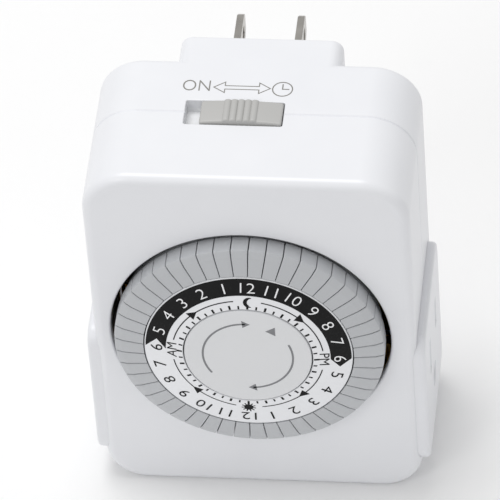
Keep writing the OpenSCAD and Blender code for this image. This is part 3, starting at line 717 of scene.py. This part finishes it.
def on_disc(u, v, lift):
    """A point of the centre disc's printing, in mm about the dial's axis."""
    return Vector((DIAL.x + u * MM, DISC_FRONT - lift, DIAL.z + v * MM))


def on_top(u, v, lift):
    """A point of the top's printing: mm across, and mm back from the front face."""
    return Vector((u * MM, FRONT + v * MM, TOP + lift))


def shape(place, points, layer=1):
    """A filled outline, printed as a thin closed form."""
    return loft("shape", [[place(u, v, lift) for u, v in points] for lift in (-INK, layer * INK)])


def line(place, points, width, closed=False, layer=1):
    """A line of the given width in mm through the points."""
    count = len(points)
    sections = []
    for i in range(count):
        here = Vector(points[i])
        before = Vector(points[i - 1]) if i or closed else here
        after = Vector(points[(i + 1) % count]) if closed or i < count - 1 else here
        into, out = (here - before).normalized(), (after - here).normalized()
        if not into.length:
            into = out
        if not out.length:
            out = into
        side = Vector((-into.y - out.y, into.x + out.x)) / (1 + into.dot(out)) * width / 2
        section = []
        for way, lift in ((1, -INK), (-1, -INK), (-1, layer * INK), (1, layer * INK)):
            at = here + side * way
            section.append(place(at.x, at.y, lift))
        sections.append(section)
    return loft("line", sections, closed)


def swing(r, start, end, step=2.0):
    """Points along a circle about the axis, from one angle to another."""
    count = max(2, int(abs(end - start) / step) + 1)
    angles = [math.radians(start + (end - start) * i / (count - 1)) for i in range(count)]
    return [(r * math.cos(a), r * math.sin(a)) for a in angles]


def lettering(place, text, at, turn, height, layer=1, squeeze=1.0, thin=0.012):
    """Printed characters, centred at a point in mm, turned by degrees, of that height in mm."""
    data = bpy.data.curves.new("lettering", "FONT")
    data.body = text
    data.size = 1.0
    data.extrude = 0.1
    data.offset = -thin
    data.align_x = "CENTER"
    data.align_y = "CENTER"
    data.resolution_u = 4
    carrier = bpy.data.objects.new("lettering", data)
    bpy.context.scene.collection.objects.link(carrier)
    bpy.context.view_layer.update()
    mesh = bpy.data.meshes.new_from_object(carrier.evaluated_get(bpy.context.evaluated_depsgraph_get()))
    bpy.data.objects.remove(carrier)
    tall = max(v.co.y for v in mesh.vertices) - min(v.co.y for v in mesh.vertices)
    centre = (max(v.co.y for v in mesh.vertices) + min(v.co.y for v in mesh.vertices)) / 2
    across = (max(v.co.x for v in mesh.vertices) + min(v.co.x for v in mesh.vertices)) / 2
    scale = height / tall
    c, s = math.cos(math.radians(turn)), math.sin(math.radians(turn))
    for v in mesh.vertices:
        u, w = (v.co.x - across) * scale * squeeze, (v.co.y - centre) * scale
        lift = layer * INK if v.co.z > 0 else -INK
        v.co = place(at[0] + u * c - w * s, at[1] + u * s + w * c, lift)
    form = bmesh.new()
    form.from_mesh(mesh)
    bmesh.ops.remove_doubles(form, verts=form.verts, dist=0.002 * MM)
    bmesh.ops.recalc_face_normals(form, faces=form.faces)
    form.to_mesh(mesh)
    form.free()
    piece = bpy.data.objects.new("lettering", mesh)
    bpy.context.scene.collection.objects.link(piece)
    return piece


def printed(name, parts, ink, slot, body):
    """Prints joined into one piece."""
    return finish(joined(name, parts), ink, slot, body)


def hour_angle(hour):
    """Where an hour stands: midnight at the top, the day running anticlockwise."""
    return 90 + 15 * hour


def night_band():
    """The black band over the night hours: notched at one end and pointed at the other."""
    inner, outer, middle = 17.0, 21.25, 19.05
    notch, point = 172.5, -7.0
    sections = []
    steps = 90
    for i in range(steps + 1):
        share = i / steps
        row = []
        for r, ends in ((inner, (0, 180)), (middle, (point, notch)), (outer, (0, 180))):
            angle = math.radians(ends[0] + (ends[1] - ends[0]) * share)
            row.append((r * math.cos(angle), r * math.sin(angle)))
        bottom = [on_ring(u, v, -INK) for u, v in row]
        top = [on_ring(u, v, INK) for u, v in reversed(row)]
        sections.append(bottom + top)
    return printed("night_band", [loft("band", sections)], BLACK_INK, "dial_print", "dial")


def hour_numerals():
    """Hours 1 to 12 twice: white over the night band, black over the day."""
    night, day = [], []
    for hour in range(24):
        angle = hour_angle(hour)
        turn = math.radians(angle)
        at = (NUMERAL_R * math.cos(turn), NUMERAL_R * math.sin(turn))
        dark = hour < 6 or hour >= 18
        number = lettering(on_ring, str(hour % 12 or 12), at, angle - 90, NUMERAL, layer=2 if dark else 1,
                           squeeze=1.12, thin=0.012 if dark else 0.004)
        (night if dark else day).append(number)
    printed("night_numerals", night, WHITE_INK, "dial_print", "dial")
    printed("day_numerals", day, BLACK_INK, "dial_print", "dial")


def day_and_night_marks():
    """AM and PM, the sun and the moon, the four arrows and the half-hour ticks."""
    marks = []
    for text, angle in (("AM", 180), ("PM", 0)):
        at = (SUN_R * math.cos(math.radians(angle)), 0)
        marks.append(lettering(on_ring, text, at, angle - 90, 2.0, thin=0.0))
    # each arrow's first and last angle, and where its head is
    arrows = ((169, 100.7, 136), (79.7, 9, 46), (-11.5, -79.5, -44), (-99.7, -169.5, -133.5))
    for start, end, head in arrows:
        marks.append(line(on_ring, swing(DAY_ARC_R, start, end), 0.24))
        front, back = math.radians(head - 4), math.radians(head + 3.6)
        corners = [(DAY_ARC_R * math.cos(front), DAY_ARC_R * math.sin(front))]
        corners += [(r * math.cos(back), r * math.sin(back)) for r in (14.55, 16.65)]
        marks.append(shape(on_ring, corners))
    outer = [(0.35 + 1.25 * math.cos(a), MOON_R + 1.25 * math.sin(a))
             for a in [math.radians(68 + 224 * i / 24) for i in range(25)]]
    inner = [(1.15 + 1.25 * math.cos(a), MOON_R + 1.16 * math.sin(a))
             for a in [math.radians(250 - 140 * i / 20) for i in range(21)]]
    marks.append(shape(on_ring, outer + inner))
    marks.append(shape(on_ring, [(0.95 * math.cos(a), 0.95 * math.sin(a) - SUN_R)
                                 for a in [2 * math.pi * i / 24 for i in range(24)]]))
    for i in range(11):
        a = math.radians(90 + 360 / 11 * i)
        ray = [(r * math.cos(a), r * math.sin(a) - SUN_R) for r in (0.7, 1.5)]
        marks.append(line(on_ring, ray, 0.24))
    for i in range(TRIPPERS):
        angle = math.radians(360 / TRIPPERS * i)
        long_one, bold = i % 12 == 0, i % 2 == 0
        start = 13.6
        end = 14.75 if long_one else 14.6 if bold else 14.4
        tick = [(r * math.cos(angle), r * math.sin(angle)) for r in (start, end)]
        marks.append(line(on_ring, tick, 0.46 if bold else 0.36))
    printed("dial_marks", marks, BLACK_INK, "dial_print", "dial")


def disc_arrows():
    """Two arc arrows that show which way the dial turns, and the pointer for the time."""
    marks = []
    for start, end in ((214, 90.5), (23, -86)):
        marks.append(line(on_disc, swing(DISC_ARC_R, start, end), 0.42))
        tip, wing = math.radians(end - 6), math.radians(end + 4)
        head = [(DISC_ARC_R * math.cos(tip), DISC_ARC_R * math.sin(tip))]
        head += [(r * math.cos(wing), r * math.sin(wing)) for r in (DISC_ARC_R - 1, DISC_ARC_R + 1)]
        marks.append(shape(on_disc, head))
    marks.append(shape(on_disc, [(4.0, 7.4), (6.0, 6.15), (6.0, 8.6)]))
    printed("disc_arrows", marks, DISC_INK, "dial_print", "housing")


def top_marks():
    """ON, a double-headed arrow and a clock, printed behind the slider."""
    marks = [lettering(on_top, "ON", (-12.05, 27.75), 0, 3.1, squeeze=0.84)]
    left, right, y = -8.5, 3.1, 27.4
    head, barb, shaft = 2.3, 1.55, 0.5
    half = [(left, y), (left + head, y + barb), (left + head, y + shaft), (right - head, y + shaft),
            (right - head, y + barb), (right, y)]
    mirrored = [(x, 2 * y - v) for x, v in reversed(half[1:-1])]
    marks.append(line(on_top, half + mirrored, 0.2, closed=True))
    centre = (5.6, 27.3)
    circle_points = [(centre[0] + 2.03 * math.cos(a), centre[1] + 2.03 * math.sin(a))
                     for a in [2 * math.pi * i / 48 for i in range(48)]]
    marks.append(line(on_top, circle_points, 0.24, closed=True))
    marks.append(line(on_top, [(centre[0], centre[1] + 1.5), centre, (centre[0] + 1.4, centre[1])], 0.24))
    printed("top_marks", marks, GREY_INK, "shell_plastic", "housing")


# ---------------------------------------------------------------- everything

front_shell()
rear_shell()
outlet_face("outlet_plate_right", 1, -1)
outlet_face("outlet_plate_left", -1, 1)
blade_piece("line_blade_piece", 1, "line_blade")
blade_piece("neutral_blade_piece", -1, "neutral_blade")
earth_pin()
slider_grip()
for pair_hour in range(1, TRIPPERS // 2 + 1):
    tripper_pair(pair_hour)
ring_face()
disc_face()
night_band()
hour_numerals()
day_and_night_marks()
disc_arrows()
top_marks()

FINISHES = {
    "housing_screws": ZINC, "movement_screws": ZINC, "gear_arbor": ZINC, "lever_pivot": ZINC,
    "dial_clip": ZINC, "motor_case": ZINC, "rating_label": FOIL, "neutral_bus": BRASS,
    "line_feed_bus": BRASS, "line_load_bus": BRASS, "neutral_clips": BRASS, "line_clips": BRASS,
    "contact_leaf": BRASS, "detent_spring": BRASS, "ground_bus": TIN, "ground_clips": TIN,
    "fixed_contact": NICKEL, "moving_contact": NICKEL, "movement_plate": NYLON,
    "motor_coil": COIL, "motor_leads": SLEEVE, "slider_guide": TRAY_ABS, "dial_carrier": GREY_ABS,
    "reduction_gear": NYLON, "motor_pinion": NYLON, "switch_lever": NYLON}

for name, node in frame["nodes"].items():
    if name not in FINISHES:
        continue
    for material_slot in node.material_slots:
        material_slot.material = FINISHES[name]

# ---------------------------------------------------------------- floor, light and camera


def floor():
    """A plain white sheet under the timer."""
    material, tree, shader, place = surface("white paper sweep", "#FFFFFF", 0.9)
    clouded(tree, shader, place, 60, "#FBFBFB", "#FFFFFF", 0.85, 0.95)
    half = 1.5
    corners = [(-half, -half, 0), (half, -half, 0), (half, half, 0), (-half, half, 0)]
    sheet = piece_from("floor", corners, [(0, 1, 2, 3)])
    sheet.data.materials.append(material)


def soft_box(name, at, aim, size, watts):
    """A round studio soft box that points at a place; sizes in metres."""
    data = bpy.data.lights.new(name, "AREA")
    data.shape = "DISK"
    data.size = size
    data.energy = watts
    lamp = bpy.data.objects.new(name, data)
    lamp.location = at
    lamp.rotation_euler = (Vector(aim) - Vector(at)).to_track_quat("-Z", "Y").to_euler()
    bpy.context.scene.collection.objects.link(lamp)


def camera():
    """The view from above the front, a little to the right."""
    azimuth, elevation, roll = math.radians(8.82), math.radians(45.02), math.radians(-4.47)
    aim = Vector((0.57, -17.8, 69.84)) * MM
    distance = 1233.1 * MM
    level = math.cos(elevation)
    back = Vector((math.sin(azimuth) * level, -math.cos(azimuth) * level, math.sin(elevation)))
    right = Vector((math.cos(azimuth), math.sin(azimuth), 0))
    up = back.cross(right)
    rolled_right = right * math.cos(roll) + up * math.sin(roll)
    rolled_up = up * math.cos(roll) - right * math.sin(roll)
    data = bpy.data.cameras.new("camera")
    data.sensor_width = 36
    data.lens = 438.06
    data.clip_start = 0.05
    view = bpy.data.objects.new("camera", data)
    axes = Matrix((rolled_right, rolled_up, back)).transposed().to_4x4()
    view.matrix_world = Matrix.Translation(aim + back * distance) @ axes
    bpy.context.scene.collection.objects.link(view)
    bpy.context.scene.camera = view


def studio():
    """An even white surround, a soft box overhead and a smaller one at the upper left front."""
    world = bpy.data.worlds.new("studio")
    bpy.context.scene.world = world
    world.use_nodes = True
    background = world.node_tree.nodes["Background"]
    background.inputs["Color"].default_value = (1, 1, 1, 1)
    background.inputs["Strength"].default_value = 0.57
    bpy.context.scene.view_settings.view_transform = "Standard"
    soft_box("top light", (-0.15, 0.12, 0.9), (0, 0, 0.05), 0.5, 3.4)
    soft_box("front light", (-0.45, -0.75, 0.75), (0, 0, 0.06), 0.4, 1.3)


floor()
studio()
camera()
